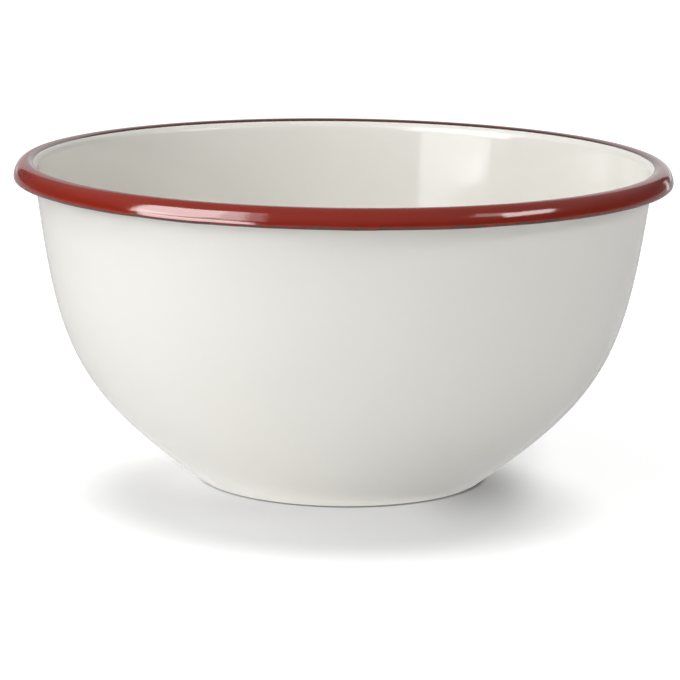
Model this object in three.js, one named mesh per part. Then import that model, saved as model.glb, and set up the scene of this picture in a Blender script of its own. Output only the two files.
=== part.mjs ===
// Enamelled steel mixing bowl with a rolled rim, in millimetres, +Z up.
// The origin is the middle of the face that the bowl stands on, and +Z is the bowl's axis.
// One pressed steel sheet carries every coat of enamel. The sheet's inner face is drawn once, as a line
// from the middle of the base to the tucked lip of the rim, and each solid is a run of that line
// between two depths, turned about the axis.
import * as THREE from 'three';

const { degToRad } = THREE.MathUtils;

// Overall sizes, over the enamel
const RIM_DIAMETER = 240;
const BOWL_HEIGHT = 117.5;

// Base: a flat standing ring round a slightly raised middle
const STANDING_DIAMETER = 103;
const STANDING_WIDTH = 8;
const PANEL_RISE = 1.2;
const PANEL_SLOPE_WIDTH = 6;
const BASE_BEND_BORE = 2;

// Wall: its lean from upright at each end, and the length over which it holds that direction
const BASE_FLARE = degToRad(53);
const RIM_LEAN = degToRad(7.5);
const LOWER_PULL = 58;
const UPPER_PULL = 60;

// Rolled rim: inside radii of the sheet over its crown, down its side and in the tuck of its lip,
// and the slopes of the sheet at the red's upper edge, where the side begins and where the tuck begins
const CROWN_BORE = 3;
const SIDE_BORE = 7.5;
const TUCK_BORE = 0.25;
const RED_EDGE_SLOPE = degToRad(38);
const SIDE_SLOPE = degToRad(57);
const LIP_SLOPE = degToRad(85);
const SEAM_GAP = 0.3;

// Layers: the sheet, the dark ground coat on both its faces, and the colour coats on that
const STEEL_THICKNESS = 0.6;
const GROUND_THICKNESS = 0.12;
const WHITE_THICKNESS = 0.2;
const RED_THICKNESS = 0.2;
const FUSE_GAP = 0.02;

// Facets: steps round the bowl, and along each curve of the section
const ROUND_STEPS = 40;
const BEND_STEPS = 2;
const WALL_STEPS = 8;
const TURN_STEPS = 2;
const CROWN_STEPS = 5;
const SIDE_STEPS = 2;
const TUCK_STEPS = 2;

// Depths of the layers over a face of the sheet
const groundFrom = FUSE_GAP;
const groundTo = groundFrom + GROUND_THICKNESS;
const colourFrom = groundTo + FUSE_GAP;
const whiteTo = colourFrom + WHITE_THICKNESS;
const redTo = colourFrom + RED_THICKNESS;

const RIGHT_ANGLE = Math.PI / 2;
const direction = (heading) => new THREE.Vector2(Math.cos(heading), Math.sin(heading));

// Base of the sheet line, from the axis to the outer edge of the standing ring
const baseZ = STEEL_THICKNESS + whiteTo;
const ringOuter = new THREE.Vector2(STANDING_DIAMETER / 2, baseZ);
const ringInner = new THREE.Vector2(ringOuter.x - STANDING_WIDTH, baseZ);
const panelEdge = new THREE.Vector2(ringInner.x - PANEL_SLOPE_WIDTH, baseZ + PANEL_RISE);
const panelMiddle = new THREE.Vector2(0, panelEdge.y);
const base = [panelMiddle, panelEdge, ringInner, ringOuter];

// Bend from the standing ring up into the wall
const bendRadius = BASE_BEND_BORE + whiteTo;
const bendCurve = new THREE.ArcCurve(
  ringOuter.x, ringOuter.y + bendRadius, bendRadius, -RIGHT_ANGLE, -BASE_FLARE, false);
const bend = bendCurve.getPoints(BEND_STEPS);

// Rolled rim: every arc turns clockwise as the line climbs the wall, crosses the top and comes down outside.
// Each arc leaves the one before it in the same direction, so their centres lie on one radius.
const crownRadius = CROWN_BORE + STEEL_THICKNESS;
const sideRadius = SIDE_BORE + STEEL_THICKNESS;
const tuckRadius = TUCK_BORE + STEEL_THICKNESS;
const crownToSide = direction(RIGHT_ANGLE - SIDE_SLOPE).multiplyScalar(crownRadius - sideRadius);
const sideToTuck = direction(RIGHT_ANGLE - LIP_SLOPE).multiplyScalar(sideRadius - tuckRadius);
const tuckX = RIM_DIAMETER / 2 - redTo - tuckRadius;
const crownX = tuckX - sideToTuck.x - crownToSide.x;
const crownCentre = new THREE.Vector2(crownX, BOWL_HEIGHT - redTo - crownRadius);
const sideCentre = crownCentre.clone().add(crownToSide);
const tuckCentre = sideCentre.clone().add(sideToTuck);
const lipZ = tuckCentre.y - tuckRadius;

function rimArc(centre, radius, fromHeading, toHeading, steps) {
  const arc = new THREE.ArcCurve(
    centre.x, centre.y, radius, fromHeading + RIGHT_ANGLE, toHeading + RIGHT_ANGLE, true);
  return arc.getPoints(steps);
}
const whiteTurn = rimArc(crownCentre, crownRadius, RIGHT_ANGLE - RIM_LEAN, RED_EDGE_SLOPE, TURN_STEPS);
const crown = rimArc(crownCentre, crownRadius, RED_EDGE_SLOPE, -SIDE_SLOPE, CROWN_STEPS);
const side = rimArc(sideCentre, sideRadius, -SIDE_SLOPE, -LIP_SLOPE, SIDE_STEPS);
const tuck = rimArc(tuckCentre, tuckRadius, -LIP_SLOPE, -Math.PI, TUCK_STEPS);

// Straight neck of the wall behind the roll: the lip ends just short of it
const neckTop = whiteTurn[0];
const neckX = (z) => neckTop.x - (neckTop.y - z) * Math.tan(RIM_LEAN);
const neckOuterX = neckX(lipZ + STEEL_THICKNESS) + STEEL_THICKNESS / Math.cos(RIM_LEAN);
const lipEnd = new THREE.Vector2(neckOuterX + SEAM_GAP, lipZ);

// Wall, one smooth curve from the bend to the shoulder, where the outside coats stop under the lip
const shoulderZ = lipZ - redTo - SEAM_GAP;
const shoulder = new THREE.Vector2(neckX(shoulderZ), shoulderZ);
const wallFoot = bend.at(-1);
const wallCurve = new THREE.CubicBezierCurve(
  wallFoot,
  wallFoot.clone().addScaledVector(direction(RIGHT_ANGLE - BASE_FLARE), LOWER_PULL),
  shoulder.clone().addScaledVector(direction(RIGHT_ANGLE - RIM_LEAN), -UPPER_PULL),
  shoulder);
const wall = wallCurve.getPoints(WALL_STEPS);

// Runs of the sheet line, with the points that two neighbouring pieces share kept once
const SAME_POINT = 1e-6;
function joined(...pieces) {
  return pieces.flat().filter((point, i, all) => i === 0 || point.distanceTo(all[i - 1]) > SAME_POINT);
}

// The same line with its end drawn back
function drawnBack(line, length) {
  const [before, last] = line.slice(-2);
  const end = last.clone().lerp(before, length / last.distanceTo(before));
  return [...line.slice(0, -1), end];
}

const sheetLine = joined(base, bend, wall, whiteTurn, crown, side, tuck, [lipEnd]);
const insideLine = drawnBack(joined(base, bend, wall, whiteTurn), FUSE_GAP);
const outsideLine = joined(base, bend, wall);
const rimLine = joined(crown, side, tuck, [lipEnd]);

function leftNormal(from, to) {
  const along = to.clone().sub(from).normalize();
  return new THREE.Vector2(-along.y, along.x);
}

// A parallel line at a depth to the left, which is the inside of the bowl and the top of the rim
function parallel(line, depth) {
  return line.map((point, i) => {
    const next = line[i + 1];
    const previous = line[i - 1];
    const normalIn = previous ? leftNormal(previous, point) : leftNormal(point, next);
    const normalOut = next ? leftNormal(point, next) : normalIn;
    const mitre = normalIn.clone().add(normalOut).divideScalar(1 + normalIn.dot(normalOut));
    return point.clone().addScaledVector(mitre, depth);
  });
}

// One layer, turned from the section between two depths of a line
function layer(name, line, fromDepth, toDepth, material) {
  const section = [...parallel(line, fromDepth), ...parallel(line, toDepth).reverse()];
  const onAxis = line[0].x === 0;
  if (!onAxis) {
    section.push(section[0].clone());
  }
  const mesh = new THREE.Mesh(new THREE.LatheGeometry(section, ROUND_STEPS), material);
  mesh.name = name;
  return mesh;
}

const steel = new THREE.MeshStandardMaterial({ color: 0x7d8084, roughness: 0.45, metalness: 1 });
const groundEnamel = new THREE.MeshStandardMaterial({ color: 0x23262d, roughness: 0.3, metalness: 0 });
const whiteEnamel = new THREE.MeshStandardMaterial({ color: 0xefede6, roughness: 0.12, metalness: 0 });
const redEnamel = new THREE.MeshStandardMaterial({ color: 0x9c2620, roughness: 0.1, metalness: 0 });

// Layers from the inside of the bowl outwards. On the outer face, depths run the other way through the sheet.
const outer = (depth) => -STEEL_THICKNESS - depth;
const bowl = new THREE.Group();
bowl.add(
  layer('white_coat_inside', insideLine, colourFrom, whiteTo, whiteEnamel),
  layer('red_rim_coat', rimLine, colourFrom, redTo, redEnamel),
  layer('ground_coat_inside', sheetLine, groundFrom, groundTo, groundEnamel),
  layer('pressed_steel_shell', sheetLine, -STEEL_THICKNESS, 0, steel),
  layer('ground_coat_outside', outsideLine, outer(groundTo), outer(groundFrom), groundEnamel),
  layer('white_coat_outside', outsideLine, outer(whiteTo), outer(colourFrom), whiteEnamel));

// The sections are turned about Y, which becomes the bowl's upright axis
bowl.rotation.x = RIGHT_ANGLE;

export default bowl;
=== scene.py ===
import math

import bmesh
import bpy
from mathutils import Euler, Matrix, Vector, geometry, noise


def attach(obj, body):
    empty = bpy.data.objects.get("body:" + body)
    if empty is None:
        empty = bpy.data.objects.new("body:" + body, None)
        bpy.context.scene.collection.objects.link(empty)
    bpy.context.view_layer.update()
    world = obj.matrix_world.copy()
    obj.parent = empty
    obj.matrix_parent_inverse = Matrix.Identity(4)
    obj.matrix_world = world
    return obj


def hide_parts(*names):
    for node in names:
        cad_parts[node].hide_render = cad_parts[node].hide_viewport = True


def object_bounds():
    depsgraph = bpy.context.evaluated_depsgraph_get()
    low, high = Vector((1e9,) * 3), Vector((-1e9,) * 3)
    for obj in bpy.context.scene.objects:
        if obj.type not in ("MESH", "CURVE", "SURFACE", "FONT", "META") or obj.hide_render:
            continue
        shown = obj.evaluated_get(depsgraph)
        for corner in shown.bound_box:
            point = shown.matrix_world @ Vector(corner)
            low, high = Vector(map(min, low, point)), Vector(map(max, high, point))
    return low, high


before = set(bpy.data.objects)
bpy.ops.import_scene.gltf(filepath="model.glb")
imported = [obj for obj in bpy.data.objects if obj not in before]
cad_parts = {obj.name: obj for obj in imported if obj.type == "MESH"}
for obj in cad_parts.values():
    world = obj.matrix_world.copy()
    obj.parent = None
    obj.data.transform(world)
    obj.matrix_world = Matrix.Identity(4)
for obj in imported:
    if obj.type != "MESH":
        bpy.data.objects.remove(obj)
cad_low, cad_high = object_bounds()


# Pressed steel shell: one disc of thin enamelling steel, deep drawn to the bowl. Its edge is rolled
# outwards into a hollow rim whose lip is tucked in against the wall. Enamel closes the grey sheet in.
# Its inner face is one line, from the middle of the base to the lip, and every layer follows that line.
rim_radius = cad_high.x
bowl_height = cad_high.z
steel_thickness = 0.0006
coats_depth = 0.00036

panel_rise = 0.0012
panel_radius = 0.0375
panel_rings = 5
slope_rings = 9
ring_inner_radius = 0.0435
ring_outer_radius = 0.0515
bend_radius = 0.00236
bend_rings = 5
base_flare = math.radians(53)
rim_lean = math.radians(7.5)
lower_pull = 0.058
upper_pull = 0.060
wall_rings = 37
neck_rings = 3

crown_radius = 0.0036
side_radius = 0.0081
tuck_radius = 0.00085
seam_gap = 0.0003
red_edge_slope = math.radians(38)
side_slope = math.radians(57)
lip_slope = math.radians(85)
white_turn_rings = 8
crown_rings = 20
side_rings = 10
tuck_rings = 8
lip_rings = 3
quarter_turn = math.radians(90)
same_point = 1e-7


def along_heading(heading):
    """Unit vector of the section, at an angle up from the radius."""
    return Vector((math.cos(heading), math.sin(heading)))


def straight(start, stop, steps):
    """Points of a straight run of the section."""
    return [start.lerp(stop, i / steps) for i in range(steps + 1)]


def arc(centre, radius, start, stop, steps):
    """Points of an arc of the section, from one angle to another."""
    turn = (stop - start) / steps
    return [centre + radius * along_heading(start + turn * i) for i in range(steps + 1)]


def rim_arc(centre, radius, start_heading, stop_heading, steps):
    """Points of a clockwise arc of the rim, between two headings of the sheet."""
    return arc(centre, radius, start_heading + quarter_turn, stop_heading + quarter_turn, steps)


def joined(*runs):
    """One line of several runs, with the points that neighbouring runs share kept once."""
    line = []
    for point in (point for run in runs for point in run):
        if not line or (point - line[-1]).length > same_point:
            line.append(point)
    return line


# base, from the axis over the raised middle to the ring that it stands on
base_z = steel_thickness + coats_depth
panel_edge = Vector((panel_radius, base_z + panel_rise))
ring_inner = Vector((ring_inner_radius, base_z))
ring_outer = Vector((ring_outer_radius, base_z))
panel = straight(Vector((0, panel_edge.y)), panel_edge, panel_rings)
slope_pull = Vector(((ring_inner_radius - panel_radius) / 2, 0))
slope = geometry.interpolate_bezier(
    panel_edge, panel_edge + slope_pull, ring_inner - slope_pull, ring_inner, slope_rings)
bend_centre = ring_outer + Vector((0, bend_radius))
bend = arc(bend_centre, bend_radius, -quarter_turn, -base_flare, bend_rings)

# rolled rim, over its crown, down its side and in under its lip:
# each arc leaves the last in the same direction
crown_to_side = (crown_radius - side_radius) * along_heading(quarter_turn - side_slope)
side_to_tuck = (side_radius - tuck_radius) * along_heading(quarter_turn - lip_slope)
tuck_x = rim_radius - coats_depth - tuck_radius
crown_z = bowl_height - coats_depth - crown_radius
crown_centre = Vector((tuck_x - side_to_tuck.x - crown_to_side.x, crown_z))
side_centre = crown_centre + crown_to_side
tuck_centre = side_centre + side_to_tuck
white_turn = rim_arc(crown_centre, crown_radius, quarter_turn - rim_lean, red_edge_slope, white_turn_rings)
crown = rim_arc(crown_centre, crown_radius, red_edge_slope, -side_slope, crown_rings)
side = rim_arc(side_centre, side_radius, -side_slope, -lip_slope, side_rings)
tuck = rim_arc(tuck_centre, tuck_radius, -lip_slope, -2 * quarter_turn, tuck_rings)
lip_z = tuck_centre.y - tuck_radius


def neck_at(z):
    """Point of the straight neck of the wall, behind the roll."""
    top = white_turn[0]
    return Vector((top.x - (top.y - z) * math.tan(rim_lean), z))


neck_outer_x = neck_at(lip_z + steel_thickness).x + steel_thickness / math.cos(rim_lean)
lip = straight(tuck[-1], Vector((neck_outer_x + seam_gap, lip_z)), lip_rings)

# wall, from the bend to the shoulder under the lip, and on up the neck
wall_foot = bend[-1]
shoulder = neck_at(lip_z - coats_depth - seam_gap)
wall = geometry.interpolate_bezier(
    wall_foot, wall_foot + lower_pull * along_heading(quarter_turn - base_flare),
    shoulder - upper_pull * along_heading(quarter_turn - rim_lean), shoulder, wall_rings)
neck = straight(shoulder, white_turn[0], neck_rings)

sheet_line = joined(panel, slope, [ring_outer], bend, wall, neck, white_turn, crown, side, tuck, lip)


def parallel(line, depth):
    """The line moved to its left, which is the inside of the bowl and the top of the rim."""
    moved = []
    for i, point in enumerate(line):
        before = (point - line[i - 1]).normalized() if i else None
        after = (line[i + 1] - point).normalized() if i + 1 < len(line) else before
        before = before or after
        mitre = (before.orthogonal() + after.orthogonal()) / (1 + before.dot(after))
        moved.append(point + depth * mitre)
    return moved


# unevenness of the hand-rolled rim, the same for every layer of it
ripple_height = 0.00012
ripple_density = Vector((48, 48, 110))
lip_wave_height = 0.00010
lip_wave_density = Vector((95, 95, 0))
lip_wave_top = math.radians(35)
roll_start = 0.003


def smooth_step(low, high, value):
    """0 below low, 1 above high, and a smooth rise between them."""
    share = min(max((value - low) / (high - low), 0), 1)
    return share * share * (3 - 2 * share)


def rim_ripple(place):
    """How far a point of the roll lies from the true round of it."""
    radius = math.hypot(place.x, place.y)
    from_centre = Vector((radius, place.z)) - crown_centre
    share = smooth_step(0, roll_start, from_centre.x)
    if share == 0:
        return Vector()
    sideways = from_centre.x / radius
    outward = Vector((place.x * sideways, place.y * sideways, from_centre.y)).normalized()
    height = ripple_height * noise.noise(place * ripple_density)
    low_share = smooth_step(lip_wave_top, 0, math.atan2(from_centre.y, from_centre.x))
    wave = lip_wave_height * low_share * noise.noise(place * lip_wave_density)
    return share * (height * outward + Vector((0, 0, wave)))


sectors = 18
sector_steps = 20
crease_angle = math.radians(40)
same_place = 1e-6


def turned_layer(name, line, near, far):
    """One layer of the bowl: the section between two depths of a line, turned about the axis.
    Each point also holds how far along the line it is, from 0 to 1."""
    lengths = [0]
    for before, after in zip(line, line[1:]):
        lengths.append(lengths[-1] + (after - before).length)
    near_face = list(zip(parallel(line, near), lengths))
    far_face = list(zip(parallel(line, far), lengths))
    shape = bmesh.new()
    along = shape.verts.layers.float.new("along")
    section = []
    for point, length in near_face + far_face[::-1]:
        vert = shape.verts.new((point.x, 0, point.y))
        vert[along] = length / lengths[-1]
        section.append(vert)
    edges = [shape.edges.new(pair) for pair in zip(section, section[1:])]
    if line[0].x > 0:
        edges.append(shape.edges.new((section[-1], section[0])))
    sector_angle = 4 * quarter_turn / sectors
    bmesh.ops.spin(shape, geom=section + edges, axis=(0, 0, 1), angle=sector_angle, steps=sector_steps)
    sector = shape.verts[:] + shape.edges[:] + shape.faces[:]
    bmesh.ops.spin(shape, geom=sector, axis=(0, 0, 1), angle=sector_angle * (sectors - 1),
                   steps=sectors - 1, use_duplicate=True)
    bmesh.ops.remove_doubles(shape, verts=shape.verts, dist=same_place)
    bmesh.ops.recalc_face_normals(shape, faces=shape.faces)
    for vert in shape.verts:
        vert.co += rim_ripple(vert.co)
    mesh = bpy.data.meshes.new(name)
    shape.to_mesh(mesh)
    shape.free()
    mesh.shade_smooth()
    mesh.set_sharp_from_angle(angle=crease_angle)
    piece = bpy.data.objects.new(name, mesh)
    bpy.context.scene.collection.objects.link(piece)
    return piece


def add_node(tree, kind, inputs, **settings):
    """A new node, with its settings, and its inputs set to a value or linked to another node's output."""
    made = tree.nodes.new(kind)
    for setting, value in settings.items():
        setattr(made, setting, value)
    for socket, value in inputs.items():
        if isinstance(value, bpy.types.NodeSocket):
            tree.links.new(value, made.inputs[socket])
        else:
            made.inputs[socket].default_value = value
    return made


def new_finish(name):
    """A new material, its node tree and its shader."""
    finish = bpy.data.materials.new(name)
    finish.use_nodes = True
    return finish, finish.node_tree, finish.node_tree.nodes["Principled BSDF"]


def blend_colours(tree, share, first, second):
    """Colour between two others, by a share."""
    mix = add_node(tree, "ShaderNodeMix", {0: share, 6: first, 7: second}, data_type="RGBA")
    return mix.outputs[2]


def spread(tree, value, from_low, from_high, to_low, to_high):
    """A value carried from one range to another, and kept within it."""
    ranged = add_node(tree, "ShaderNodeMapRange", {
        "Value": value, "From Min": from_low, "From Max": from_high, "To Min": to_low, "To Max": to_high})
    return ranged.outputs["Result"]


# fired mottle: the slow wander of tone and the fine ripple that firing leaves on steel and on enamel
mottle_low = 0.3
mottle_high = 0.7
mottle_group = bpy.data.node_groups.new("fired_mottle", "ShaderNodeTree")
for socket in ("Mottle Density", "Ripple Density"):
    mottle_group.interface.new_socket(socket, in_out="INPUT", socket_type="NodeSocketFloat")
for socket in ("Mottle", "Ripple"):
    mottle_group.interface.new_socket(socket, in_out="OUTPUT", socket_type="NodeSocketFloat")
mottle_in = mottle_group.nodes.new("NodeGroupInput")
mottle_place = mottle_group.nodes.new("ShaderNodeTexCoord").outputs["Object"]
slow_noise = add_node(mottle_group, "ShaderNodeTexNoise", {
    "Vector": mottle_place, "Scale": mottle_in.outputs["Mottle Density"], "Detail": 3, "Roughness": 0.55})
fine_noise = add_node(mottle_group, "ShaderNodeTexNoise", {
    "Vector": mottle_place, "Scale": mottle_in.outputs["Ripple Density"], "Detail": 1.5, "Roughness": 0.4})
add_node(mottle_group, "NodeGroupOutput", {
    "Mottle": slow_noise.outputs["Fac"], "Ripple": fine_noise.outputs["Fac"]})


def fired_mottle(tree, slow_density, fine_density):
    """The outputs of the mottle group, placed in a material."""
    group = add_node(tree, "ShaderNodeGroup", {}, node_tree=mottle_group)
    group.inputs["Mottle Density"].default_value = slow_density
    group.inputs["Ripple Density"].default_value = fine_density
    return group.outputs


def mottled_roughness(tree, value, smoothest, roughest):
    """Roughness that wanders between two limits with a noise."""
    return spread(tree, value, mottle_low, mottle_high, smoothest, roughest)


dark_steel = (0.27, 0.28, 0.30, 1)
pale_steel = (0.41, 0.42, 0.43, 1)
steel_finish, tree, shader = new_finish("fired_sheet_steel")
fired = fired_mottle(tree, slow_density=60, fine_density=900)
tree.links.new(blend_colours(tree, fired["Mottle"], dark_steel, pale_steel), shader.inputs["Base Color"])
steel_roughness = mottled_roughness(tree, fired["Ripple"], smoothest=0.38, roughest=0.55)
tree.links.new(steel_roughness, shader.inputs["Roughness"])
shader.inputs["Metallic"].default_value = 1

steel_shell = turned_layer("steel_shell", sheet_line, -steel_thickness, 0)
steel_shell.data.materials.append(steel_finish)
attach(steel_shell, "root")
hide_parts("pressed_steel_shell")


# Ground coats: a thin blue-black glass fired onto both faces of the steel, so that the colour coats
# hold to it. The inner one runs over the roll to the lip, and the outer one stops under the lip.
fuse_gap = 0.00002
ground_thickness = 0.00012
ground_from = fuse_gap
ground_to = ground_from + ground_thickness
outside_line = joined(panel, slope, [ring_outer], bend, wall)
ripple_depth = 0.0002


def rippled(tree, shader, height, strength):
    """Lets the fine ripple of the firing show in a finish."""
    bump = add_node(tree, "ShaderNodeBump", {
        "Height": height, "Strength": strength, "Distance": ripple_depth})
    tree.links.new(bump.outputs["Normal"], shader.inputs["Normal"])


blue_black = (0.016, 0.020, 0.030, 1)
grey_black = (0.034, 0.040, 0.050, 1)
ground_finish, tree, shader = new_finish("ground_enamel")
fired = fired_mottle(tree, slow_density=90, fine_density=1500)
tree.links.new(blend_colours(tree, fired["Mottle"], blue_black, grey_black), shader.inputs["Base Color"])
ground_roughness = mottled_roughness(tree, fired["Mottle"], smoothest=0.16, roughest=0.30)
tree.links.new(ground_roughness, shader.inputs["Roughness"])
rippled(tree, shader, fired["Ripple"], strength=0.1)

ground_inside = turned_layer("ground_enamel_inside", sheet_line, ground_from, ground_to)
ground_outside = turned_layer("ground_enamel_outside", outside_line,
                              -steel_thickness - ground_to, -steel_thickness - ground_from)
for coat, node in ((ground_inside, "ground_coat_inside"), (ground_outside, "ground_coat_outside")):
    coat.data.materials.append(ground_finish)
    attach(coat, "root")
    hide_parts(node)


# White cover coats: warm white glass over the ground coat, dipped and fired glossy. The inner one ends
# in a soft line at the crest of the rim. The outer one goes round the base, where standing has scuffed it.
white_thickness = 0.0002
colour_from = ground_to + fuse_gap
white_to = colour_from + white_thickness
inside_line = joined(panel, slope, [ring_outer], bend, wall, neck, white_turn)
inside_line[-1] = inside_line[-1] + fuse_gap * (inside_line[-2] - inside_line[-1]).normalized()
warm_white = (0.84, 0.82, 0.77, 1)
milk_white = (0.86, 0.845, 0.80, 1)
enamel_ior = 1.52


def white_enamel(name, smoothest, roughest):
    """The white enamel's finish, with its colour and roughness still to be linked, for wear to change."""
    finish, tree, shader = new_finish(name)
    fired = fired_mottle(tree, slow_density=22, fine_density=420)
    colour = blend_colours(tree, fired["Mottle"], warm_white, milk_white)
    roughness = mottled_roughness(tree, fired["Mottle"], smoothest, roughest)
    rippled(tree, shader, fired["Ripple"], strength=0.06)
    shader.inputs["IOR"].default_value = enamel_ior
    return finish, tree, shader, colour, roughness


def worn_roughness(tree, share, glossy, dull):
    """Roughness that goes from the glossy enamel's to a duller one by a share."""
    mix = add_node(tree, "ShaderNodeMix", {"Factor": share, "A": glossy, "B": dull})
    return mix.outputs["Result"]


# inner coat: it loses its gloss in the last millimetres before the crest
fade_start = 0.982
fade_end = 0.990
edge_roughness = 0.35
inside_finish, tree, shader, colour, roughness = white_enamel(
    "white_enamel_inside", smoothest=0.05, roughest=0.08)
along_inside = add_node(tree, "ShaderNodeAttribute", {}, attribute_name="along").outputs["Fac"]
near_edge = spread(tree, along_inside, fade_start, fade_end, 0, 1)
tree.links.new(colour, shader.inputs["Base Color"])
tree.links.new(worn_roughness(tree, near_edge, roughness, edge_roughness), shader.inputs["Roughness"])

white_inside = turned_layer("white_enamel_inside", inside_line, colour_from, white_to)
white_inside.data.materials.append(inside_finish)
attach(white_inside, "root")
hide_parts("white_coat_inside")

# outer coat: scuffed in patches where it meets the table
scuffed_white = (0.55, 0.53, 0.50, 1)
scuff_height = 0.0003
scuff_patch_low = 0.48
scuff_patch_high = 0.66
scuff_most = 0.8
scuff_roughness = 0.6
outside_finish, tree, shader, colour, roughness = white_enamel(
    "white_enamel_outside", smoothest=0.10, roughest=0.15)
scuff_place = tree.nodes.new("ShaderNodeTexCoord").outputs["Object"]
scuff_rise = add_node(tree, "ShaderNodeSeparateXYZ", {"Vector": scuff_place}).outputs["Z"]
scuff_noise = add_node(tree, "ShaderNodeTexNoise", {"Vector": scuff_place, "Scale": 700, "Detail": 4})
scuff_low = spread(tree, scuff_rise, 0, scuff_height, 1, 0)
scuff_patch = spread(tree, scuff_noise.outputs["Fac"], scuff_patch_low, scuff_patch_high, 0, scuff_most)
scuff_both = add_node(tree, "ShaderNodeMath", {0: scuff_low, 1: scuff_patch}, operation="MULTIPLY")
scuff = scuff_both.outputs["Value"]
tree.links.new(blend_colours(tree, scuff, colour, scuffed_white), shader.inputs["Base Color"])
tree.links.new(worn_roughness(tree, scuff, roughness, scuff_roughness), shader.inputs["Roughness"])

white_outside = turned_layer("white_enamel_outside", outside_line,
                             -steel_thickness - white_to, -steel_thickness - colour_from)
white_outside.data.materials.append(outside_finish)
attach(white_outside, "root")
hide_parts("white_coat_outside")


# Red rim coat: brick red glass brushed over the roll, from the crest to the lip, and fired last.
# It runs thin at both its edges. Along the lip it is darkened in dashes: partly the dark ground coat
# showing through, partly painted shade of the gap under the roll.
red_thickness = 0.0002
red_to = colour_from + red_thickness
rim_line = joined(crown, side, tuck, lip)
brick_red = (0.26, 0.014, 0.003, 1)
deep_red = (0.21, 0.012, 0.003, 1)
# dark red of the thin enamel at both edges, which along the lip is also painted shade
thin_red_and_lip_shade = (0.040, 0.012, 0.010, 1)
red_ior = 1.6
dash_reach = 0.12
lip_thin_shade_start = 0.630
lip_thin_shade_end = 0.650
lip_thin_shade_depth = 0.95
crest_thin_start = 0.08
crest_thin_end = 0.24
crest_thinness = 0.9
thin_roughness = 0.4

red_finish, tree, shader = new_finish("red_enamel")
fired = fired_mottle(tree, slow_density=70, fine_density=500)
along_rim = add_node(tree, "ShaderNodeAttribute", {}, attribute_name="along").outputs["Fac"]
dash_place = tree.nodes.new("ShaderNodeTexCoord").outputs["Object"]
dash_noise = add_node(tree, "ShaderNodeTexNoise", {"Vector": dash_place, "Scale": 260, "Detail": 3})
wandering = add_node(tree, "ShaderNodeMath", {
    0: dash_noise.outputs["Fac"], 1: dash_reach, 2: along_rim}, operation="MULTIPLY_ADD").outputs["Value"]
# painted shade: the red darkened in dashes along the lip, partly the ground coat showing through the thin
# enamel
thin_lip_and_shade = spread(tree, wandering, lip_thin_shade_start, lip_thin_shade_end, 0, lip_thin_shade_depth)
thin_crest = spread(tree, wandering, crest_thin_start, crest_thin_end, crest_thinness, 0)
thin_and_lip_shade = add_node(tree, "ShaderNodeMath", {0: thin_lip_and_shade, 1: thin_crest}, operation="MAXIMUM").outputs["Value"]
red_colour = blend_colours(tree, fired["Mottle"], deep_red, brick_red)
red_roughness = mottled_roughness(tree, fired["Mottle"], smoothest=0.07, roughest=0.13)
tree.links.new(blend_colours(tree, thin_and_lip_shade, red_colour, thin_red_and_lip_shade), shader.inputs["Base Color"])
tree.links.new(worn_roughness(tree, thin_lip_and_shade, red_roughness, thin_roughness), shader.inputs["Roughness"])
rippled(tree, shader, fired["Ripple"], strength=0.08)
shader.inputs["IOR"].default_value = red_ior

red_rim = turned_layer("red_enamel_rim", rim_line, colour_from, red_to)
red_rim.data.materials.append(red_finish)
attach(red_rim, "root")
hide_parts("red_rim_coat")


# Floor: a plain white sheet of studio board under the bowl, lit to white away from it.
# To the eye the board glows, least under the bowl in a painted pool of shade, and it keeps the bowl's
# shadow as well.
# In reflections it glows more evenly and less, so that no white fringe edges the bowl, but brighter close
# to the bowl, in painted light.
floor_radius = 14
floor_drop = 0.00005
floor_white = (0.90, 0.90, 0.90, 1)
floor_seen = (0.36, 0.36, 0.36, 1)
round_reach = (1, 1, 1)

floor_finish, tree, shader = new_finish("studio_board")
shader.inputs["Roughness"].default_value = 1
shader.inputs["Specular IOR Level"].default_value = 0
floor_place = tree.nodes.new("ShaderNodeTexCoord").outputs["Object"]


def soft_spot(middle, reach, start, stop, inside, outside, turn=0):
    """A value that changes smoothly from the inside of an ellipse on the floor to its outside."""
    from_middle = add_node(tree, "ShaderNodeMapping", {
        "Vector": floor_place, "Location": middle, "Rotation": (0, 0, turn), "Scale": reach},
        vector_type="TEXTURE").outputs["Vector"]
    distance = add_node(tree, "ShaderNodeVectorMath", {0: from_middle}, operation="LENGTH").outputs["Value"]
    return add_node(tree, "ShaderNodeMapRange", {
        "Value": distance, "From Min": start, "From Max": stop, "To Min": inside, "To Max": outside},
        interpolation_type="SMOOTHSTEP").outputs["Result"]


def combine(operation, *values):
    """The result of one sum on values of the board's finish."""
    return add_node(tree, "ShaderNodeMath", dict(enumerate(values)), operation=operation).outputs["Value"]


# painted shade and light in the glow: a pool of shade round the bowl, its darker core away from the light,
# a lit patch of floor on the other side, and a dark line under the edge of the base
pool_middle = (-0.0064, -0.0397, 0)
# painted shade: the glow dimmed in a pool round the bowl
painted_shade_pool = soft_spot(pool_middle, (0.1121, 0.1013, 1), start=0.578, stop=1,
                 inside=0.418, outside=0.842, turn=-0.678)
open_floor = soft_spot(pool_middle, round_reach, start=0.12, stop=0.5, inside=0, outside=0.16)
# painted shadow: a darker core of the pool on the side away from the light
painted_shadow_core = soft_spot((0.0524, 0.0100, 0), (0.0259, 0.0882, 1), start=0.2, stop=1.2,
                 inside=0.256, outside=0, turn=-0.105)
# painted light: the glow raised on the lit side of the bowl
painted_lit_floor = soft_spot((-0.0411, 0.0098, 0), (0.0375, 0.0533, 1), start=0.2, stop=1.2, inside=0.2, outside=0)
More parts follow.
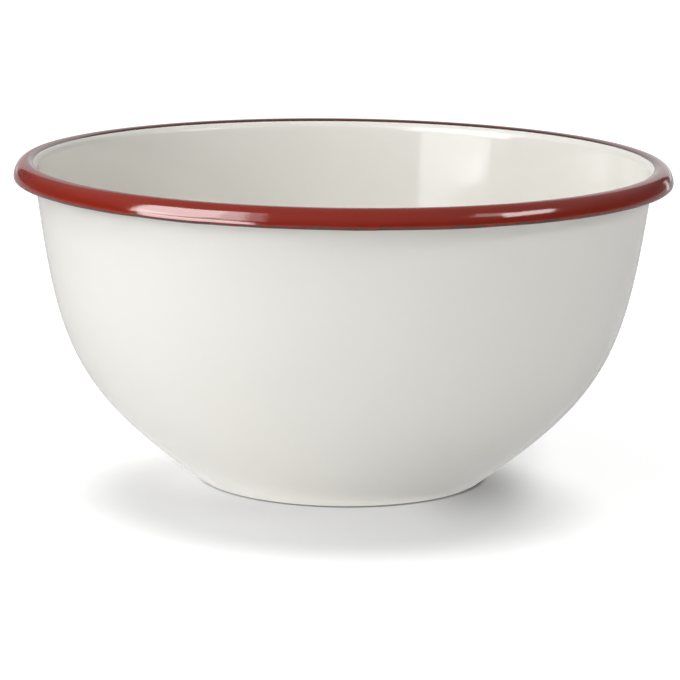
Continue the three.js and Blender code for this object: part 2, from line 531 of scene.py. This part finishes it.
# painted shade: a dark line in the glow under the edge of the base
painted_contact_shade = soft_spot((0.0006, 0, 0), round_reach, start=0.0528, stop=0.0545, inside=0.15, outside=1)
painted_shade_glow = combine("SUBTRACT", combine("ADD", painted_shade_pool, open_floor), painted_shadow_core)
eye_glow = combine("MULTIPLY_ADD", painted_shade_glow, painted_contact_shade, painted_lit_floor)
# painted light: in reflections the board glows brighter close to the bowl
painted_shine_glow = soft_spot((0, 0, 0), round_reach, start=0.06, stop=0.16, inside=0.55, outside=0.38)

ray = tree.nodes.new("ShaderNodeLightPath").outputs
shine = combine("ADD", ray["Is Glossy Ray"], ray["Is Transmission Ray"])
seen = combine("ADD", ray["Is Camera Ray"], shine)
tree.links.new(blend_colours(tree, seen, floor_white, floor_seen), shader.inputs["Base Color"])
eye_glow_seen = combine("MULTIPLY", eye_glow, ray["Is Camera Ray"])
glow_seen = combine("MULTIPLY_ADD", shine, painted_shine_glow, eye_glow_seen)
shader.inputs["Emission Color"].default_value = (1, 1, 1, 1)
tree.links.new(glow_seen, shader.inputs["Emission Strength"])

disc = bmesh.new()
bmesh.ops.create_circle(disc, cap_ends=True, segments=96, radius=floor_radius,
                        matrix=Matrix.Translation((0, 0, -floor_drop)))
floor_mesh = bpy.data.meshes.new("studio_floor")
disc.to_mesh(floor_mesh)
disc.free()
floor_mesh.materials.append(floor_finish)
studio_floor = bpy.data.objects.new("studio_floor", floor_mesh)
bpy.context.scene.collection.objects.link(studio_floor)


# Studio light: soft panels on the left, in front, overhead and on the right, white boards behind, a faint
# disc of light on the board round the base, and a dim room. The panels give no shine. Cards give only
# shine: the rim's long highlight on the left, a band in the bowl, a streak on the right, a strip behind.


def aimed(place, facing, turn=0):
    """The placing of a lamp or a camera that looks from one point to another, turned about its own axis."""
    look = (Vector(facing) - Vector(place)).to_track_quat("-Z", "Y").to_matrix().to_4x4()
    return Matrix.Translation(place) @ look @ Euler((0, 0, turn)).to_matrix().to_4x4()


def light_panel(name, place, facing, size, power, turn=0):
    """A soft panel that lights what it faces and stays out of the picture."""
    light = bpy.data.lights.new(name, "AREA")
    light.shape = "RECTANGLE"
    light.size, light.size_y = size
    light.energy = power
    lamp = bpy.data.objects.new(name, light)
    lamp.matrix_world = aimed(place, facing, turn)
    lamp.visible_camera = False
    bpy.context.scene.collection.objects.link(lamp)
    return lamp


# each with its place, the point that it faces, its width and height, and its power
panels = (
    ("left_panel", (-0.47, -0.51, 0.42), (0, -0.51, 0.42), (0.62, 0.40), 3.04),
    ("high_panel", (-0.6, -0.1, 0.8), (0, 0, 0.08), (0.5, 0.4), 3.0),
    ("front_panel", (-0.3, -1.6, 0.5), (0, 0, 0.05), (1.2, 0.8), 3.6),
    ("top_panel", (-0.2, 0.25, 1.5), (0, 0, 0), (1.4, 1.4), 6.7),
    ("right_panel", (0.95, -0.40, 0.61), (0.724, 0.574, -0.59), (0.80, 0.20), 3.0))
for setting in panels:
    light_panel(*setting).visible_glossy = False
board_glow = light_panel("board_glow", (-0.010, -0.002, 0.0003), (-0.010, -0.002, 1),
                         (0.122, 0.122), 0.0092)
board_glow.data.shape = "DISK"
board_glow.visible_glossy = False

# the same, and how far each is turned about its own axis
rim_turn = math.radians(7)
streak_turn = math.radians(25)
cards = (
    ("rim_card", (-0.606, -0.371, 0.461), (-0.056, 0.459, 0.461), (0.4475, 0.4725), 6.24, rim_turn),
    ("rim_side", (-0.382, -0.519, 0.478), (0.168, 0.311, 0.478), (0.090, 0.505), 0.885, rim_turn),
    ("rim_end", (-0.318, -0.562, 0.487), (0.232, 0.268, 0.487), (0.065, 0.505), 0.206, rim_turn),
    ("lip_card", (-0.2988, -0.3084, 0.0775), (0.4512, 0.3516, 0.0775), (0.2875, 0.155), 1.257, 0),
    ("band_card", (-0.47, -0.4725, 0.19), (0, -0.4725, 0.19), (0.525, 0.12), 0.58, 0),
    ("rear_strip", (0.67, 1.0, 0.13), (0.1, 0, 0.1), (0.06, 0.24), 0.07, 0),
    ("streak_card", (0.945, -0.379, 0.615), (0.719, 0.595, -0.585), (0.46, 0.26), 3.2, streak_turn),
    ("streak_end", (0.647, -0.464, 0.602), (0.421, 0.510, -0.598), (0.22, 0.18), 0.30, 0))
for setting in cards:
    light_panel(*setting).visible_diffuse = False

light_panel("back_board_left", (-0.625, 2.2, 0.8), (-0.625, 0, 0.8), (0.75, 1.6), 1.8)
light_panel("back_board_right", (0.375, 2.2, 0.8), (0.375, 0, 0.8), (1.25, 1.6), 4.4)

# room: light low on its walls and a dark ceiling, and in reflections dark walls and a paler ceiling
wall_light = 1.04
ceiling_light = 0.03
light_fade_start = 0.05
light_fade_end = 0.30
wall_shine = 0.12
ceiling_shine = 0.4
shine_fade_start = 0.20
shine_fade_end = 0.60
world = bpy.data.worlds.new("studio")
bpy.context.scene.world = world
world.use_nodes = True
room = world.node_tree
room_way = room.nodes.new("ShaderNodeTexCoord").outputs["Generated"]
rise = add_node(room, "ShaderNodeSeparateXYZ", {"Vector": room_way}).outputs["Z"]
room_light = spread(room, rise, light_fade_start, light_fade_end, wall_light, ceiling_light)
room_shine = spread(room, rise, shine_fade_start, shine_fade_end, wall_shine, ceiling_shine)
shine_ray = room.nodes.new("ShaderNodeLightPath").outputs["Is Glossy Ray"]
room_level = add_node(room, "ShaderNodeMix", {"Factor": shine_ray, "A": room_light, "B": room_shine})
room.links.new(room_level.outputs["Result"], room.nodes["Background"].inputs["Strength"])
room.nodes["Background"].inputs["Color"].default_value = (1, 1, 1, 1)


# Camera: a long lens from a little above the rim, which looks just into the bowl.
# It has the slight tilt of the picture.
view_elevation = math.radians(11.289)
view_distance = 1.183
view_aim = Vector((-0.00056, 0, 0.05006))
view_roll = math.radians(0.723)

camera_data = bpy.data.cameras.new("view")
camera_data.sensor_width = 36
camera_data.lens = 169.72
camera = bpy.data.objects.new("view", camera_data)
toward_camera = Vector((0, -math.cos(view_elevation), math.sin(view_elevation)))
camera.matrix_world = aimed(view_aim + view_distance * toward_camera, view_aim, view_roll)
bpy.context.scene.collection.objects.link(camera)
bpy.context.scene.camera = camera
bpy.context.scene.view_settings.view_transform = "Standard"
